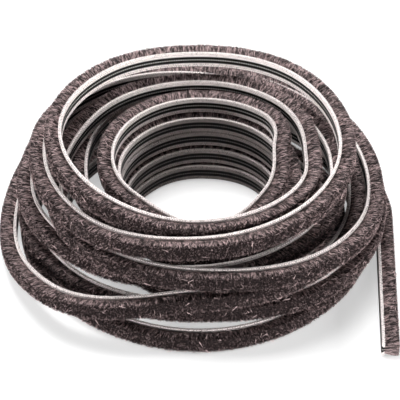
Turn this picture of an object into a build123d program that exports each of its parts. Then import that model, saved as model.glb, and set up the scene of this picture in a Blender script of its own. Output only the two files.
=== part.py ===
from build123d import *
import os
from math import cos, radians, sin

# Brush seal strip: one length of pile weatherstrip, lying as a loose hand-wound coil.
# The strip is a woven backing ribbon with a dense pile standing on one face.
# In the coil it stands on edge, backing to the inside and pile to the outside.
# Millimetres, +Z up, origin under the middle of the coil's box, on the floor.

# Section of the strip
STRIP_WIDTH = 9.0
STRIP_HEIGHT = 9.0
BACKING_THICKNESS = 1.3
PILE_ROOT_WIDTH = 5.4
PILE_SHOULDER_HEIGHT = 4.4
PILE_SHOULDER_WIDTH = 8.3
TIP_ROUNDING = 0.8

# Coil
BORE_RADIUS = 35.0
LANE_GAP = 0.4
LAYER_GAP = 0.3
TAIL_REACH = 101.5
TAIL_LEAN = 4.08

# What follows from them
LANE_PITCH = STRIP_HEIGHT + LANE_GAP
LAYER_PITCH = STRIP_WIDTH + LAYER_GAP

# The coil is read at eight stations a turn: right, back right, back, back left,
# left, front left, front and front right. Each row is one turn. It gives the
# strip's lane (0 at the bore, counted outwards) and then its layer (0 on the
# floor, counted upwards) at those stations. The last turn ends at its fifth.
STATIONS = 8
TURNS = (
    ((6.15, 5.5, 5.3, 5.3, 5.4, 5.7, 6.0, 5.5), (0, 0, 0, 0, 0, 0, 0, 0)),
    ((4.9, 4.4, 4.35, 5.0, 5.5, 5.3, 4.8, 5.6), (0, 0.85, 1, 1, 1, 1, 1, 1)),
    ((5.75, 5.5, 5.4, 6.3, 6.5, 7.1, 5.25, 5.0), (1.05, 1.55, 2.05, 1.25, 0, 1.25, 2.2, 2.1)),
    ((4.45, 4.4, 4.2, 4.45, 4.7, 4.7, 4.4, 4.1), (2.05, 2.8, 3.6, 4.2, 4.7, 4.7, 5.05, 5.2)),
    ((3.8, 3.55, 2.9, 3.45, 3.8, 3.65, 3.3, 2.9), (5.35, 5.7, 6, 6, 6, 5.75, 5.25, 5.2)),
    ((1.95, 2.25, 2.25, 2.8, 3.6, 4.8, 5.25, 5.9), (4.45, 4.45, 4.45, 4.25, 3.65, 3.6, 3.65, 3.25)),
    ((5.5, 5.45, 5.3, 5.45, 5.5, 4.75, 4.0, 3.95), (2.3, 2.6, 3.05, 2.95, 2.4, 2.45, 2.7, 3.1)),
    ((3.4, 3.35, 3.15, 3.2, 2.5, 2.2, 2.3, 1.0), (3.4, 3.4, 3.25, 2.9, 2.6, 3.3, 4.05, 4.2)),
    ((0.25, 1.2, 1.2, 1.1, 1.0, 1.1, 1.2, 0.95), (4.35, 4.1, 4, 4, 4.06, 4.08, 3.15, 3.05)),
    ((0.9, 0.8, 0.65, 0.6, 0.65, 0.8, 0.9, 0.85), (3, 3, 3, 3, 3.04, 3.06, 2.12, 2.02)),
    ((0.85, 0.8, 0.65, 0.55, 0.6, 0.7, 0.8, 0.8), (2, 2, 2, 2, 2.02, 2.04, 1.09, 1)),
    ((0.65, 0.5, 0.3, 0.2, 0.35, 0.5, 0.6, 0.6), (1, 1, 1, 1, 1, 1.02, 0.06, 0)),
    ((0.5, 0.3, 0, 0, 0.4, 1.6, 2.4, 3.1), (0, 0, 0, 0, 0, 0, 0, 0)),
    ((3.5, 3.3, 3.35, 3.6, 3.8), (0, 0, 0, 0, 0)),
)
STEPS = 4


def tangents(values):
    """Slope at each station, flat where the values turn, so no blend overshoots."""
    falls = [b - a for a, b in zip(values, values[1:])]
    inner = [2 * a * b / (a + b) if a * b > 0 else 0.0 for a, b in zip(falls, falls[1:])]
    return [falls[0], *inner, falls[-1]]


def blended(values):
    """The stations' values with STEPS smooth steps from each one to the next."""
    slopes = tangents(values)
    result = []
    for i in range(len(values) - 1):
        for k in range(STEPS):
            t = k / STEPS
            start = (1 + 2 * t) * (1 - t) ** 2 * values[i] + t * (1 - t) ** 2 * slopes[i]
            end = t * t * (3 - 2 * t) * values[i + 1] - t * t * (1 - t) * slopes[i + 1]
            result.append(start + end)
    return [*result, values[-1]]


def coil_points():
    """Middle of the backing's inner face, round the coil from the tail inwards."""
    lanes = blended([lane for turn in TURNS for lane in turn[0]])
    layers = blended([layer for turn in TURNS for layer in turn[1]])
    points = []
    for i, (lane, layer) in enumerate(zip(lanes, layers)):
        angle = radians(i * 360 / (STATIONS * STEPS))
        radius = BORE_RADIUS + lane * LANE_PITCH
        height = STRIP_WIDTH / 2 + layer * LAYER_PITCH
        points.append(Vector(radius * cos(angle), radius * sin(angle), height))
    return points


def tail_points(first):
    """The free end, straight from its cut to the coil's first point."""
    points = []
    for share in (1.0, 0.75, 0.5, 0.25):
        points.append(Vector(first.X - TAIL_LEAN * share, -TAIL_REACH * share, first.Z))
    return points


def places(points):
    """An upright section plane at each point: x outwards, z along the strip."""
    planes = []
    for i, point in enumerate(points):
        ahead = points[min(i + 1, len(points) - 1)]
        behind = points[max(i - 1, 0)]
        heading = Vector(ahead.X - behind.X, ahead.Y - behind.Y, 0)
        outwards = heading.cross(Vector(0, 0, 1))
        planes.append(Plane(origin=point, x_dir=outwards, z_dir=heading))
    return planes


def along(route, profile):
    """One solid of the profile carried along the route, straight from each place to the next."""
    return loft([place * profile for place in route], ruled=True)


def backing_profile():
    """Ribbon: flat inner face at x = 0."""
    half = STRIP_WIDTH / 2
    return Polygon((0, -half), (BACKING_THICKNESS, -half), (BACKING_THICKNESS, half), (0, half), align=None)


def pile_profile():
    """Pile: narrow at its root, fanned out to the strip's width, edges of the tip eased."""
    half = STRIP_WIDTH / 2
    right = [
        (BACKING_THICKNESS, PILE_ROOT_WIDTH / 2),
        (PILE_SHOULDER_HEIGHT, PILE_SHOULDER_WIDTH / 2),
        (STRIP_HEIGHT - TIP_ROUNDING, half),
        (STRIP_HEIGHT, half - 2 * TIP_ROUNDING),
    ]
    left = [(x, -y) for x, y in reversed(right)]
    return Polygon(*right, *left, align=None)


coil = coil_points()
route = places(tail_points(coil[0]) + coil)
strip = {"backing": along(route, backing_profile()), "pile": along(route, pile_profile())}

# The origin goes under the middle of the whole coil's box
box = Compound(list(strip.values())).bounding_box()
to_origin = Location((-box.center().X, -box.center().Y, -box.min.Z))

os.makedirs("parts", exist_ok=True)
for name, solid in strip.items():
    solid = solid.moved(to_origin)
    solid.label = name
    export_step(solid, f"parts/{name}.step")
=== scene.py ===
from math import cos, pi, radians, sin

import bpy
import numpy as np
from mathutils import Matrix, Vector


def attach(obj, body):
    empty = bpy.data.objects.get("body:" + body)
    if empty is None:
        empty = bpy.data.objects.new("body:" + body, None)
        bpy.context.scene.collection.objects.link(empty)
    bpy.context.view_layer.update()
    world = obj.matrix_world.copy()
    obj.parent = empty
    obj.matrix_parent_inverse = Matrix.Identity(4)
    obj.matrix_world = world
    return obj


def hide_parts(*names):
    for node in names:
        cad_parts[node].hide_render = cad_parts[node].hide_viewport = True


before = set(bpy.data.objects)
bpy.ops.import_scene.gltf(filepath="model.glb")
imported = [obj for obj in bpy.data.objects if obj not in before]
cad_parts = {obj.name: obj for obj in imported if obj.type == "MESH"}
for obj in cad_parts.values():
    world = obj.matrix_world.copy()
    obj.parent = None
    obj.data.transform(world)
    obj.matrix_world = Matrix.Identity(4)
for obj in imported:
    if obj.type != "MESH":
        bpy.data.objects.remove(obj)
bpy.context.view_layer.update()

MM = 0.001

# Section of the strip, in millimetres
STRIP_WIDTH = 9.0
STRIP_HEIGHT = 9.0
BACKING_THICKNESS = 1.3

# Route of the coil, in millimetres, as the solids have it: a row a turn, with
# its lane and layer at eight stations. TO_ORIGIN is the shift that brings the
# origin under the middle of the coil.
BORE_RADIUS = 35.0
LANE_PITCH = STRIP_HEIGHT + 0.4
LAYER_PITCH = STRIP_WIDTH + 0.3
TAIL_REACH = 101.5
TAIL_LEAN = 4.08
TO_ORIGIN = (1.6456, 3.5529, 0.0)
STATIONS = 8
TURNS = (
    ((6.15, 5.5, 5.3, 5.3, 5.4, 5.7, 6.0, 5.5), (0, 0, 0, 0, 0, 0, 0, 0)),
    ((4.9, 4.4, 4.35, 5.0, 5.5, 5.3, 4.8, 5.6), (0, 0.85, 1, 1, 1, 1, 1, 1)),
    ((5.75, 5.5, 5.4, 6.3, 6.5, 7.1, 5.25, 5.0), (1.05, 1.55, 2.05, 1.25, 0, 1.25, 2.2, 2.1)),
    ((4.45, 4.4, 4.2, 4.45, 4.7, 4.7, 4.4, 4.1), (2.05, 2.8, 3.6, 4.2, 4.7, 4.7, 5.05, 5.2)),
    ((3.8, 3.55, 2.9, 3.45, 3.8, 3.65, 3.3, 2.9), (5.35, 5.7, 6, 6, 6, 5.75, 5.25, 5.2)),
    ((1.95, 2.25, 2.25, 2.8, 3.6, 4.8, 5.25, 5.9), (4.45, 4.45, 4.45, 4.25, 3.65, 3.6, 3.65, 3.25)),
    ((5.5, 5.45, 5.3, 5.45, 5.5, 4.75, 4.0, 3.95), (2.3, 2.6, 3.05, 2.95, 2.4, 2.45, 2.7, 3.1)),
    ((3.4, 3.35, 3.15, 3.2, 2.5, 2.2, 2.3, 1.0), (3.4, 3.4, 3.25, 2.9, 2.6, 3.3, 4.05, 4.2)),
    ((0.25, 1.2, 1.2, 1.1, 1.0, 1.1, 1.2, 0.95), (4.35, 4.1, 4, 4, 4.06, 4.08, 3.15, 3.05)),
    ((0.9, 0.8, 0.65, 0.6, 0.65, 0.8, 0.9, 0.85), (3, 3, 3, 3, 3.04, 3.06, 2.12, 2.02)),
    ((0.85, 0.8, 0.65, 0.55, 0.6, 0.7, 0.8, 0.8), (2, 2, 2, 2, 2.02, 2.04, 1.09, 1)),
    ((0.65, 0.5, 0.3, 0.2, 0.35, 0.5, 0.6, 0.6), (1, 1, 1, 1, 1, 1.02, 0.06, 0)),
    ((0.5, 0.3, 0, 0, 0.4, 1.6, 2.4, 3.1), (0, 0, 0, 0, 0, 0, 0, 0)),
    ((3.5, 3.3, 3.35, 3.6, 3.8), (0, 0, 0, 0, 0)),
)
STEPS = 12
TAIL_STEPS = 24

# Ribbon, in millimetres: its weave, the black band down its middle and the
# light thread in that. It is drawn a little thicker than the solid, and is
# narrower between the beads of its selvedges.
STITCH = 1.25
THREAD = 1.1
BLACK_REACH = 2.0
LIGHT_REACH = 0.3
EXTRA_THICKNESS = 0.25
SELVEDGE_INSET = 0.2
SELVEDGE_CORNER = 0.25
BEAD_SWELL_OUT = 0.05
BEAD_SWELL_IN = 0.04

# Dense inside of the pile, in millimetres: one half of its outline as (out, up),
# the length of a cell, and how far it stands back from a cut end
BODY_OUTLINE = (
    (BACKING_THICKNESS - 0.2, 2.5),
    (2.8, 3.2),
    (4.4, 3.7),
    (6.4, 3.9),
    (7.6, 3.9),
    (8.1, 3.3),
    (8.2, 1.6),
)
BODY_TOP = 8.2
BODY_CELL = 4.4
END_FRINGE = 0.45

# Hairs: how many in each piece, and in millimetres the pitch of the tufts, the
# widths at the roots, and how near a hair may come to a cut end and to the floor.
# Last the limits of a hair's shade, and how far it strays from its lock's.
UPPER_HAIRS = 190000
LOWER_HAIRS = 110000
TIP_HAIRS = 185000
STRAY_HAIRS = 2200
CUT_HAIRS = 3000
TUFT = 1.25
HAIR_WIDTH = (0.24, 0.42)
STRAY_WIDTH = (0.2, 0.4)
CUT_WIDTH = (0.2, 0.36)
END_ROOM = 0.05
FLOOR_ROOM = 0.02
SHADES = (0.02, 0.98)
OWN_SHADE = 0.12

# Rows that the long strip is cut into on its texture map
ROWS = 16

# Camera and lamps, in metres and watts. A lamp has its name, place, size and power.
PHOTO_ELEVATION = 40.0
CAMERA_DISTANCE = 1.0
CAMERA_LENS = 171.0
AIM = (0.0016, 0.00355, 0.01446)
LAMPS = (
    ("top_lamp", (-0.1, 0.42, 1.1), 0.6, 15.5),
    ("front_lamp", (0.15, -1.25, 0.1), 0.3, 20.0),
    ("left_lamp", (-1.15, 0.1, 0.28), 0.35, 13.0),
    ("right_lamp", (1.15, 0.0, 0.28), 0.35, 12.0),
)
FLOOR_SIZE = 6.0
WHITE = (1, 1, 1, 1)


# ---------------------------------------------------------------- materials

class Value:
    """One output of a node. Python's operators on it add Math nodes."""

    def __init__(self, finish, socket):
        self.finish = finish
        self.socket = socket

    def math(self, operation, *given):
        return self.finish.node("ShaderNodeMath", {"operation": operation}, dict(enumerate(given)))

    def __add__(self, other):
        return self.math("ADD", self, other)

    def __radd__(self, other):
        return self.math("ADD", other, self)

    def __sub__(self, other):
        return self.math("SUBTRACT", self, other)

    def __rsub__(self, other):
        return self.math("SUBTRACT", other, self)

    def __mul__(self, other):
        return self.math("MULTIPLY", self, other)

    def __truediv__(self, other):
        return self.math("DIVIDE", self, other)

    def __abs__(self):
        return self.math("ABSOLUTE", self)

    def sine(self):
        return self.math("SINE", self)

    def floor(self):
        return self.math("FLOOR", self)

    def least(self, other):
        return self.math("MINIMUM", self, other)

    def ease(self, low, high):
        """0 below low, 1 above high, and smooth between them."""
        settings = {"interpolation_type": "SMOOTHSTEP"}
        return self.finish.node("ShaderNodeMapRange", settings, {0: self, 1: low, 2: high})


class Finish:
    """The nodes of a material or a world, and the one method that adds them."""

    def __init__(self, data):
        self.data = data
        self.data.use_nodes = True
        self.tree = self.data.node_tree
        self.tree.nodes.clear()

    def node(self, kind, settings, given, output=0):
        """A node of that kind: its settings first, then a value or a link for its sockets."""
        made = self.tree.nodes.new(kind)
        for key, setting in settings.items():
            setattr(made, key, setting)
        for key, value in given.items():
            if isinstance(value, Value):
                self.tree.links.new(value.socket, made.inputs[key])
            else:
                made.inputs[key].default_value = value
        return Value(self, made.outputs[output])

    def mix(self, share, first, second):
        """first where share is 0, second where it is 1, as colours."""
        settings = {"data_type": "RGBA"}
        return self.node("ShaderNodeMix", settings, {0: share, 6: first, 7: second}, 2)

    def across(self, uv_map):
        """The two coordinates of a UV map."""
        place = self.node("ShaderNodeUVMap", {"uv_map": uv_map}, {})
        return [self.node("ShaderNodeSeparateXYZ", {}, {0: place}, side) for side in (0, 1)]

    def strip(self):
        """Millimetres along the strip and round its section."""
        along, around = self.across("strip")
        return along * 1000, around * 1000

    def point(self, x, y):
        return self.node("ShaderNodeCombineXYZ", {}, {0: x, 1: y})

    def noise(self, place, detail, roughness=0.5):
        given = {"Vector": place, "Scale": 1.0, "Detail": detail, "Roughness": roughness}
        return self.node("ShaderNodeTexNoise", {}, given)

    def bump(self, height, strength, distance):
        given = {"Strength": strength, "Distance": distance, "Height": height}
        return self.node("ShaderNodeBump", {}, given)

    def surface(self, **sockets):
        """The Principled shader at the end, its sockets named with _ for a space."""
        given = {key.replace("_", " "): value for key, value in sockets.items()}
        self.finish_with(self.node("ShaderNodeBsdfPrincipled", {}, given))

    def finish_with(self, shader, output="ShaderNodeOutputMaterial"):
        made = self.tree.nodes.new(output)
        self.tree.links.new(shader.socket, made.inputs["Surface"])


def woven_ribbon():
    """Off-white ribbon with two black threads down the middle of its inner face."""
    finish = Finish(bpy.data.materials.new("woven_ribbon"))
    along, around = finish.strip()
    lane = abs(around)

    # Plain weave: neighbouring warp threads pass over the weft by turns
    turn = (around / THREAD).floor() * pi
    over = (along * (2 * pi / STITCH) + turn).sine() * 0.5 + 0.5
    crown = abs((around * (pi / THREAD)).sine())
    relief = over * 0.7 + crown * 0.3

    # Two black threads with a dotted light one between them
    beads = (along * (2 * pi / STITCH)).sine()
    inside = BLACK_REACH + beads * 0.15 - lane
    black = inside.ease(-0.1, 0.1)
    light = (LIGHT_REACH - lane).ease(-0.08, 0.1) * (beads * -1).ease(-0.4, 0.3)

    cloud = finish.noise(finish.point(along * 0.12, around * 0.35), 3.0)
    mottle = finish.noise(finish.point(along * 0.85, around * 0.95), 1.0)
    dirt = (cloud - 0.5) * 0.25 + (mottle - 0.5) * 1.1
    # Crowns of the weave are painted light and its hollows dark, as painted shade, with a random
    # mottle of dirt over both
    weave_shade_and_dirt = (relief + dirt).ease(-0.05, 0.68)
    cloth = finish.mix(weave_shade_and_dirt, (0.12, 0.095, 0.09, 1), (0.94, 0.86, 0.84, 1))
    cloth = finish.mix(black, cloth, (0.006, 0.005, 0.005, 1))
    cloth = finish.mix(light, cloth, (0.62, 0.59, 0.57, 1))
    height = relief * (1 - black * 0.5)
    finish.surface(
        Base_Color=cloth,
        Roughness=0.62 + (1 - relief) * 0.25,
        Specular_IOR_Level=0.15,
        Normal=finish.bump(height, 0.55, 0.00022),
    )
    return finish.data


def pile_body():
    """The dense inside of the pile, streaked down its sides and dotted at its tips."""
    finish = Finish(bpy.data.materials.new("pile_body"))
    along, around = finish.strip()
    streak = finish.noise(finish.point(along * 1.9, around * 0.32), 3.0, 0.6)
    dots = finish.noise(finish.point(along * 1.5, around * 1.5), 2.0, 0.6)
    on_tips = (4.3 - abs(around)).ease(-0.3, 0.3)
    relief = streak + (dots - streak) * on_tips
    shade = relief.ease(0.42, 0.72)
    finish.surface(
        Base_Color=finish.mix(shade, (0.006, 0.004, 0.004, 1), (0.07, 0.047, 0.047, 1)),
        Roughness=0.85,
        Specular_IOR_Level=0.2,
        Normal=finish.bump(relief, 0.9, 0.0006),
    )
    return finish.data


def pile_hair():
    """Single hairs: their shade is read across the map and their length up it."""
    finish = Finish(bpy.data.materials.new("pile_hair"))
    shade, length = finish.across("OFBake")
    # Each hair is painted darker towards its root and lighter at its tip: painted shade deep in the
    # pile and painted light on its tips
    tip = finish.mix(shade * shade, (0.016, 0.008, 0.008, 1), (0.9, 0.68, 0.67, 1))
    root = finish.mix(shade * shade, (0.006, 0.003, 0.003, 1), (0.17, 0.11, 0.11, 1))
    finish.surface(
        Base_Color=finish.mix(length, root, tip),
        Roughness=0.55 + shade * 0.2,
        Specular_IOR_Level=0.3,
    )
    return finish.data


def studio_floor():
    """White paper to the camera and in reflections, duller in the light that it throws back."""
    finish = Finish(bpy.data.materials.new("studio_floor"))
    seen = finish.node("ShaderNodeLightPath", {}, {}, "Is Camera Ray")
    mirrored = finish.node("ShaderNodeLightPath", {}, {}, "Is Glossy Ray")
    through = finish.node("ShaderNodeLightPath", {}, {}, "Is Transmission Ray")
    dull = finish.node("ShaderNodeBsdfDiffuse", {}, {"Color": (0.12, 0.12, 0.12, 1)})
    paper = finish.node("ShaderNodeBsdfDiffuse", {}, {"Color": (0.93, 0.93, 0.93, 1)})
    glow = finish.node("ShaderNodeEmission", {}, {"Color": WHITE, "Strength": 1.9})
    lit_paper = finish.node("ShaderNodeMixShader", {}, {0: 0.25, 1: paper, 2: glow})
    share = (seen + mirrored + through).least(1.0)
    finish.finish_with(finish.node("ShaderNodeMixShader", {}, {0: share, 1: dull, 2: lit_paper}))
    return finish.data


def studio_world():
    """White to the camera, and next to no light on the strip."""
    finish = Finish(bpy.data.worlds.new("studio"))
    seen = finish.node("ShaderNodeLightPath", {}, {}, "Is Camera Ray")
    dim = finish.node("ShaderNodeBackground", {}, {"Color": WHITE, "Strength": 0.05})
    bright = finish.node("ShaderNodeBackground", {}, {"Color": WHITE, "Strength": 1.0})
    shader = finish.node("ShaderNodeMixShader", {}, {0: seen, 1: dim, 2: bright})
    finish.finish_with(shader, "ShaderNodeOutputWorld")
    return finish.data


# ---------------------------------------------------------------- the route

def tangents(values):
    """Slope at each station, flat where the values turn."""
    falls = [b - a for a, b in zip(values, values[1:])]
    inner = [2 * a * b / (a + b) if a * b > 0 else 0.0 for a, b in zip(falls, falls[1:])]
    return [falls[0], *inner, falls[-1]]


def blended(values):
    """The stations' values with STEPS smooth steps from each one to the next."""
    slopes = tangents(values)
    result = []
    for i in range(len(values) - 1):
        for k in range(STEPS):
            t = k / STEPS
            start = (1 + 2 * t) * (1 - t) ** 2 * values[i] + t * (1 - t) ** 2 * slopes[i]
            end = t * t * (3 - 2 * t) * values[i + 1] - t * t * (1 - t) * slopes[i + 1]
            result.append(start + end)
    return [*result, values[-1]]


def route_points():
    """Middle of the ribbon's inner face from the free end inwards, in metres."""
    lanes = np.array(blended([lane for turn in TURNS for lane in turn[0]]))
    layers = np.array(blended([layer for turn in TURNS for layer in turn[1]]))
    angle = np.arange(len(lanes)) * 2 * pi / (STATIONS * STEPS)
    radius = BORE_RADIUS + lanes * LANE_PITCH
    height = STRIP_WIDTH / 2 + layers * LAYER_PITCH
    coil = np.stack([radius * np.cos(angle), radius * np.sin(angle), height], 1)
    share = np.linspace(1, 0, TAIL_STEPS, endpoint=False)
    tail = coil[0] + np.stack([-TAIL_LEAN * share, -TAIL_REACH * share, 0 * share], 1)
    return (np.vstack([tail, coil]) + TO_ORIGIN) * MM


class Route:
    """The line that the strip follows, and which way is out at each place on it."""

    def __init__(self, points):
        self.points = points
        spans = np.linalg.norm(np.diff(points, axis=0), axis=1)
        self.reach = np.concatenate([[0], np.cumsum(spans)])
        self.length = self.reach[-1]
        heading = np.gradient(points[:, :2], axis=0)
        heading /= np.linalg.norm(heading, axis=1)[:, None]
        self.out = np.stack([heading[:, 1], -heading[:, 0]], 1)

    def at(self, along, out, up):
        """Places that far along the strip, out from its inner face and up from its middle."""
        centre = np.stack([np.interp(along, self.reach, self.points[:, i]) for i in range(3)], 1)
        way = np.stack([np.interp(along, self.reach, self.out[:, i]) for i in range(2)], 1)
        way /= np.linalg.norm(way, axis=1)[:, None]
        centre[:, :2] += way * out[:, None]
        centre[:, 2] += up
        return centre

    def curve(self):
        """The same line as a curve, upright all along."""
        line = bpy.data.curves.new("strip_route", "CURVE")
        line.dimensions = "3D"
        line.twist_mode = "Z_UP"
        spline = line.splines.new("POLY")
        spline.points.add(len(self.points) - 1)
        places = np.hstack([self.points, np.ones((len(self.points), 1))])
        spline.points.foreach_set("co", places.ravel())
        holder = bpy.data.objects.new("strip_route", line)
        bpy.context.scene.collection.objects.link(holder)
        return holder


# ---------------------------------------------------------------- ribbon and dense pile

def alone(piece):
    """Deselects everything and makes the piece active and selected."""
    bpy.ops.object.select_all(action="DESELECT")
    piece.select_set(True)
    bpy.context.view_layer.objects.active = piece


def straight_cell(name, outline, length):
    """One cell of the strip along +X, open at both ends. outline is (out, up) in millimetres."""
    bpy.ops.object.select_all(action="DESELECT")
    bpy.ops.mesh.primitive_circle_add(vertices=len(outline), radius=MM, fill_type="NOTHING")
    cell = bpy.context.active_object
    cell.name = name
    cell.data.name = name
    for vertex, (out, up) in zip(cell.data.vertices, outline):
        vertex.co = (0, -out * MM, up * MM)
    bpy.ops.object.mode_set(mode="EDIT")
    bpy.ops.mesh.select_all(action="SELECT")
    bpy.ops.mesh.extrude_edges_move(TRANSFORM_OT_translate={"value": (length * MM, 0, 0)})
    bpy.ops.mesh.select_all(action="SELECT")
    bpy.ops.mesh.normals_make_consistent(inside=False)
    bpy.ops.object.mode_set(mode="OBJECT")
    return cell


def repeat_along(cell, length, count):
    """Copies the cell end to end, welded, and closes the two ends."""
    alone(cell)
    row = cell.modifiers.new("row", "ARRAY")
    row.count = count
    row.use_relative_offset = False
    row.use_constant_offset = True
    row.constant_offset_displace = (length, 0, 0)
    row.use_merge_vertices = True
    row.merge_threshold = 0.00002
    bpy.ops.object.modifier_apply(modifier="row")
    bpy.ops.object.mode_set(mode="EDIT")
    bpy.ops.mesh.select_mode(type="VERT")
    bpy.ops.mesh.select_all(action="DESELECT")
    bpy.ops.mesh.select_non_manifold()
    bpy.ops.mesh.edge_face_add()
    bpy.ops.object.mode_set(mode="OBJECT")


def read(items, field, width, kind=np.float32):
    """A field of a mesh's vertices, corners or faces, as one row of numbers for each."""
    values = np.empty(len(items) * width, dtype=kind)
    items.foreach_get(field, values)
    return values.reshape(-1, width)


def write_map(mesh, name, across, rise):
    """A UV map of that name, a place for each corner."""
    layer = mesh.uv_layers.new(name=name)
    layer.data.foreach_set("uv", np.stack([across, rise], 1).ravel().astype(np.float32))


def unwrap(piece, length, around_it):
    """Gives the straight piece its two maps: the strip's own, in metres, and one for a texture.

    around_it takes each corner's out and up in millimetres and which way its face
    looks. It gives the way round the section, and its share of a row's height."""
    mesh = piece.data
    corner = read(mesh.loops, "vertex_index", 1, np.int32)[:, 0]
    places = read(mesh.vertices, "co", 3)[corner]
    sizes = read(mesh.polygons, "loop_total", 1, np.int32)[:, 0]
    normals = np.repeat(read(mesh.polygons, "normal", 3), sizes, axis=0)
    middles = np.repeat(read(mesh.polygons, "center", 3), sizes, axis=0)

    along, out, up = places[:, 0], -places[:, 1] / MM, places[:, 2] / MM
    around, share = around_it(out, up, -normals[:, 1])
    write_map(mesh, "strip", along, around * MM)

    # A row for each stretch of the strip, and the two cut ends in a band above them
    start = along.min()
    row_length = length / ROWS
    row = np.clip(np.floor((middles[:, 0] - start) / row_length), 0, ROWS - 1)
    across = (along - start) / row_length - row
    cut = abs(normals[:, 0]) > 0.7
    across = np.where(cut, 0.2 + 0.5 * (row > ROWS / 2) + out * 0.01, across)
    rise = np.where(cut, ROWS + 0.5 + up * 0.08, row + 0.01 + 0.98 * share) / (ROWS + 1)
    write_map(mesh, "OFBake", across, rise)


def bend_to(piece, curve):
    """Bends the straight piece to the route."""
    alone(piece)
    bend = piece.modifiers.new("bend", "CURVE")
    bend.object = curve
    bend.deform_axis = "POS_X"
    bpy.ops.object.modifier_apply(modifier="bend")


def make_backing(route, curve):
    """The ribbon, with a bead of thread at each stitch along both selvedges."""
    count = ROWS * round(route.length / (STITCH * MM) / ROWS)
    cell_length = route.length / count
    half = STRIP_WIDTH / 2
    flat = half - 2 * SELVEDGE_INSET
    edge = half - SELVEDGE_INSET
    thick = BACKING_THICKNESS + EXTRA_THICKNESS
    outline = [
        (0.0, -flat),
        (SELVEDGE_CORNER, -edge),
        (thick - SELVEDGE_CORNER, -edge),
        (thick, -flat),
        (thick, flat),
        (thick - SELVEDGE_CORNER, edge),
        (SELVEDGE_CORNER, edge),
        (0.0, flat),
    ]
    cell = straight_cell("backing_ribbon", outline, cell_length / MM)

    # Only the edges that run along the ribbon are cut in two, at their middle
    alone(cell)
    bpy.ops.object.mode_set(mode="EDIT")
    bpy.ops.mesh.select_mode(type="EDGE")
    bpy.ops.mesh.select_all(action="DESELECT")
    bpy.ops.object.mode_set(mode="OBJECT")
    for line in cell.data.edges:
        ends = [cell.data.vertices[i].co.x for i in line.vertices]
        line.select = abs(ends[0] - ends[1]) > cell_length / 2
    bpy.ops.object.mode_set(mode="EDIT")
    bpy.ops.mesh.subdivide(number_cuts=1)
    bpy.ops.object.mode_set(mode="OBJECT")
    middle = cell_length / 2
    for vertex in cell.data.vertices:
        if abs(vertex.co.x - middle) < middle / 2:
            on_pile_side = vertex.co.y < -thick / 2 * MM
            vertex.co.z *= half / edge
            vertex.co.y += -BEAD_SWELL_OUT * MM if on_pile_side else BEAD_SWELL_IN * MM
    repeat_along(cell, cell_length, count)
    unwrap(cell, route.length, around_ribbon)
    bend_to(cell, curve)
    return cell


def around_ribbon(out, up, looks_out):
    """Round the ribbon from the middle of its inner face."""
    under_pile = looks_out > 0.7
    far_side = STRIP_WIDTH + BACKING_THICKNESS - abs(up)
    around = np.sign(up) * np.where(under_pile, far_side, abs(up) + np.clip(out, 0, None))
    share = np.where(under_pile, 0.85 + up / STRIP_WIDTH * 0.28, 0.34 + around / 12.4 * 0.66)
    return around, share


def make_pile_body(route, curve):
    """The pile's dense inside: narrow at the ribbon, fanned out to the tips."""
    length = route.length - 2 * END_FRINGE * MM
    count = ROWS * round(length / (BODY_CELL * MM) / ROWS)
    cell_length = length / count
    outline = [(out, -up) for out, up in BODY_OUTLINE]
    outline += [(out, up) for out, up in reversed(BODY_OUTLINE)]
    cell = straight_cell("pile_body", outline, cell_length / MM)
    for vertex in cell.data.vertices:
        vertex.co.x += END_FRINGE * MM
    repeat_along(cell, cell_length, count)
    unwrap(cell, length, around_pile)
    bend_to(cell, curve)
    alone(cell)
    bpy.ops.object.shade_smooth()
    return cell


def around_pile(out, up, looks_out):
    """Round the pile from the middle of its tips."""
    around = np.sign(up) * (abs(up) + np.clip(BODY_TOP - out, 0, None))
    share = np.where(looks_out < -0.7, 0.93 + up / 2.5 * 0.05, 0.43 + around / 24 * 0.86)
    return around, share


# ---------------------------------------------------------------- hairs

def hairs(name, route, along, out, up, facing, width, shade, length_map):
    """Thin pointed hairs in one mesh, each a triangle from its root to its tip.

    along, out and up hold the root's and the tip's place in the strip, in millimetres."""
    count = len(shade)
    root = route.at(along[0] * MM, out[0] * MM, up[0] * MM)
    tip = route.at(along[1] * MM, out[1] * MM, up[1] * MM)
    axis = tip - root
    axis /= np.linalg.norm(axis, axis=1)[:, None]
    side = np.cross(axis, facing)
    side /= np.linalg.norm(side, axis=1)[:, None]
    side *= (width * MM / 2)[:, None]
    corners = np.stack([root - side, root + side, tip], 1).reshape(-1, 3)
    corners[:, 2] = np.maximum(corners[:, 2], FLOOR_ROOM * MM)
    mesh = bpy.data.meshes.new(name)
    mesh.vertices.add(count * 3)
    mesh.loops.add(count * 3)
    mesh.polygons.add(count)
    mesh.vertices.foreach_set("co", corners.ravel().astype(np.float32))
    mesh.loops.foreach_set("vertex_index", np.arange(count * 3, dtype=np.int32))
    mesh.polygons.foreach_set("loop_start", np.arange(0, count * 3, 3, dtype=np.int32))
    mesh.update(calc_edges=True)
    tones = np.stack([shade - 0.004, shade + 0.004, shade], 1).ravel()
    lengths = np.stack([length_map[0], length_map[0], length_map[1]], 1).ravel()
    write_map(mesh, "OFBake", np.clip(tones, 0.002, 0.998), np.clip(lengths, 0.002, 0.998))
    piece = bpy.data.objects.new(name, mesh)
    bpy.context.scene.collection.objects.link(piece)
    return piece


def locks(random, along, across, size, spread):
    """A shade for each hair that its neighbours in the same lock share."""
    rows = (along / size).astype(int)
    columns = (across / spread).astype(int) + 40
    table = random.normal(0, 1, (rows.max() + 1, columns.max() + 1))
    return table[rows, columns]


def tuft_lean(random, along, total, spread):
    """How far each hair leans along the strip with the rest of its tuft."""
    tufts = int(total / TUFT) + 2
    return random.normal(0, spread, tufts)[(along / TUFT).astype(int)]


def shades(random, middle, lock, spread):
    """A shade for each hair: round the middle given for its place, which holds painted light and
    shade, with its lock's and a little of its own.
    """
    return np.clip(middle + lock * spread + random.normal(0, OWN_SHADE, len(lock)), *SHADES)


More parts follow.
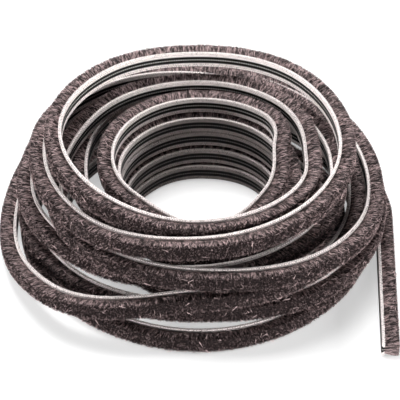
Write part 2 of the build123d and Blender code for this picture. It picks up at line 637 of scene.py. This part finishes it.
def side_height(out):
    """How far the pile's side stands from the middle of the strip, in millimetres."""
    return np.interp(out, [1.3, 4.4, 8.2, 9.2], [2.75, 4.15, 4.5, 4.2])


def make_side_hairs(name, route, side, count, seed):
    """Hairs that lie along one side of the pile, from the ribbon out to the tips."""
    random = np.random.default_rng(seed)
    total = route.length / MM
    start = random.uniform(0.3, total - 0.3, count)
    shared_lean = tuft_lean(random, start, total, 0.14)
    low = random.uniform(1.2, 6.6, count)
    span = random.uniform(1.2, 2.8, count)
    high = np.minimum(low + span, random.uniform(8.6, 9.15, count))
    lean = shared_lean + random.normal(0, 0.1, count)
    end = np.clip(start + lean * (high - low), END_ROOM, total - END_ROOM)
    lift = random.uniform(0.0, 0.12, count)
    up = (
        side * (side_height(low) - 0.18 + lift),
        side * (side_height(high) - 0.06 + lift + random.uniform(0, 0.14, count)),
    )
    lock = locks(random, start, low, 0.5, 1.0)
    # The sides' hairs are painted lighter than the tips' hairs, as painted light on the pile's
    # sides, and lighter still next to the ribbon, as painted light thrown back from it
    painted_ribbon_bounce = np.interp(low, [1.2, 2.6], [0.1, 0.0])
    shade = shades(random, 0.42 + painted_ribbon_bounce, lock, 0.52)
    tilts = [random.normal(0, 0.45, count), random.normal(0, 0.45, count)]
    facing = np.stack([*tilts, np.full(count, float(side))], 1)
    width = random.uniform(*HAIR_WIDTH, count)
    length_map = (np.full(count, 0.35), np.ones(count))
    return hairs(name, route, (start, end), (low, high), up, facing, width, shade, length_map)


def make_tip_hairs(name, route, span, count, seed):
    """Hairs that stand out of the pile's outer face, over one part of the strip."""
    random = np.random.default_rng(seed)
    total = route.length / MM
    start = random.uniform(span[0] * total + 0.2, span[1] * total - 0.2, count)
    low = random.uniform(-4.2, 4.2, count)
    shared_lean = tuft_lean(random, start, total, 0.18)
    length = random.uniform(0.8, 1.5, count)
    end = start + (shared_lean + random.normal(0, 0.18, count)) * length
    end = np.clip(end, END_ROOM, total - END_ROOM)
    high = low + (low / 4.2 * 0.3 + random.normal(0, 0.18, count)) * length
    high = np.clip(high, -4.55, 4.55)
    edge = np.interp(abs(low), [0, 2.5, 4.2], [8.95, 8.85, 8.45])
    out = (edge - length * 0.8, edge + random.uniform(-0.1, 0.22, count))
    facing = np.stack([random.normal(0, 1, count) for _ in range(3)], 1)
    lock = locks(random, start, low + 5, 0.7, 0.65)
    # The tips' hairs are painted darker than the sides' hairs, as painted shade on the pile's outer
    # face, and lighter along both edges, as painted highlights where the edges catch the light
    corner = np.interp(low, [-4.2, -3.3, 3.3, 4.1], [0.6, 0.0, 0.0, 0.33])
    shade = shades(random, 0.33 + corner, lock, 0.55)
    width = random.uniform(*HAIR_WIDTH, count)
    length_map = (np.zeros(count), np.ones(count))
    return hairs(name, route, (start, end), out, (low, high), facing, width, shade, length_map)


def make_stray_hairs(name, route, count, seed):
    """Long light hairs that have come loose: on the pile's outer face, then on its upper side."""
    random = np.random.default_rng(seed)
    total = route.length / MM
    start = random.uniform(5, total - 5, count)
    length = random.uniform(1.5, 5.0, count)
    turn = random.uniform(0, 2 * pi, count)
    end = start + length * np.cos(turn)
    rise = length * np.sin(turn)
    on_face = np.arange(count) < 0.6 * count
    edge = random.uniform(-4.2, 4.4, count)
    inset = random.uniform(2.5, 8.5, count)
    up = (
        np.where(on_face, edge, side_height(inset)),
        np.where(on_face, np.clip(edge + rise, -4.75, 5.2), random.uniform(4.5, 5.3, count)),
    )
    out = (
        np.where(on_face, 8.9, inset),
        np.where(on_face, random.uniform(9.1, 9.7, count), np.clip(inset + rise, 1.5, 9.6)),
    )
    facing = random.normal(0, 1, (count, 3))
    shade = np.clip(random.normal(0.95, 0.05, count), *SHADES)
    width = random.uniform(*STRAY_WIDTH, count)
    length_map = (np.full(count, 0.8), np.ones(count))
    return hairs(name, route, (start, end), out, up, facing, width, shade, length_map)


def make_end_hairs(name, route, count, seed):
    """Hairs laid bare where the strip was cut, at both ends."""
    random = np.random.default_rng(seed)
    total = route.length / MM
    deep = random.uniform(0.0, END_FRINGE, count)
    start = np.where(np.arange(count) % 2 == 0, deep, total - deep)
    low = random.uniform(1.2, 7.4, count)
    high = np.minimum(low + random.uniform(1.5, 3.0, count), 9.0)
    share = random.uniform(-1, 1, count)
    up = (share * (side_height(low) - 0.1), share * (side_height(high) - 0.1))
    tilts = [random.normal(0, 0.4, count) for _ in range(2)]
    facing = np.stack([tilts[0], np.full(count, -1.0), tilts[1]], 1)
    lock = locks(random, low, up[0] + 5, 1.2, 0.45)
    shade = np.clip(0.5 + lock * 0.34, *SHADES)
    width = random.uniform(*CUT_WIDTH, count)
    length_map = (np.full(count, 0.4), np.ones(count))
    return hairs(name, route, (start, start), (low, high), up, facing, width, shade, length_map)


# ---------------------------------------------------------------- studio

def add_camera():
    tilt = radians(PHOTO_ELEVATION)
    lens = bpy.data.cameras.new("photo_camera")
    lens.sensor_width = 36.0
    lens.lens = CAMERA_LENS
    lens.clip_start = 0.05
    lens.clip_end = 20.0
    camera = bpy.data.objects.new("photo_camera", lens)
    camera.location = Vector(AIM) + CAMERA_DISTANCE * Vector((0, -cos(tilt), sin(tilt)))
    camera.rotation_euler = (pi / 2 - tilt, 0, 0)
    bpy.context.scene.collection.objects.link(camera)
    bpy.context.scene.camera = camera


def add_lamp(name, place, size, power):
    lamp = bpy.data.lights.new(name, "AREA")
    lamp.shape = "SQUARE"
    lamp.size = size
    lamp.energy = power
    holder = bpy.data.objects.new(name, lamp)
    holder.location = place
    holder.rotation_euler = (Vector(AIM) - Vector(place)).to_track_quat("-Z", "Y").to_euler()
    bpy.context.scene.collection.objects.link(holder)


def add_studio():
    bpy.ops.object.select_all(action="DESELECT")
    bpy.ops.mesh.primitive_plane_add(size=FLOOR_SIZE, location=(0, 0, 0))
    floor_sheet = bpy.context.active_object
    floor_sheet.name = "studio_floor"
    floor_sheet.data.materials.append(studio_floor())
    for lamp in LAMPS:
        add_lamp(*lamp)
    bpy.context.scene.world = studio_world()
    bpy.context.scene.view_settings.view_transform = "Standard"


# ---------------------------------------------------------------- the strip

bpy.ops.object.select_all(action="DESELECT")
add_camera()
add_studio()

route = Route(route_points())
curve = route.curve()
backing = make_backing(route, curve)
body = make_pile_body(route, curve)
bpy.data.objects.remove(curve)

hair_pieces = [
    make_side_hairs("pile_hairs_upper", route, 1, UPPER_HAIRS, 11),
    make_side_hairs("pile_hairs_lower", route, -1, LOWER_HAIRS, 12),
    make_tip_hairs("pile_tips_first", route, (0.0, 0.5), TIP_HAIRS, 21),
    make_tip_hairs("pile_tips_second", route, (0.5, 1.0), TIP_HAIRS, 22),
    make_stray_hairs("pile_hairs_stray", route, STRAY_HAIRS, 31),
    make_end_hairs("pile_hairs_cut", route, CUT_HAIRS, 41),
]

backing.data.materials.append(woven_ribbon())
body.data.materials.append(pile_body())
hair_finish = pile_hair()
for piece in hair_pieces:
    piece.data.materials.append(hair_finish)

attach(backing, "root")
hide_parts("backing")
for piece in (body, *hair_pieces):
    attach(piece, "root")
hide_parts("pile")
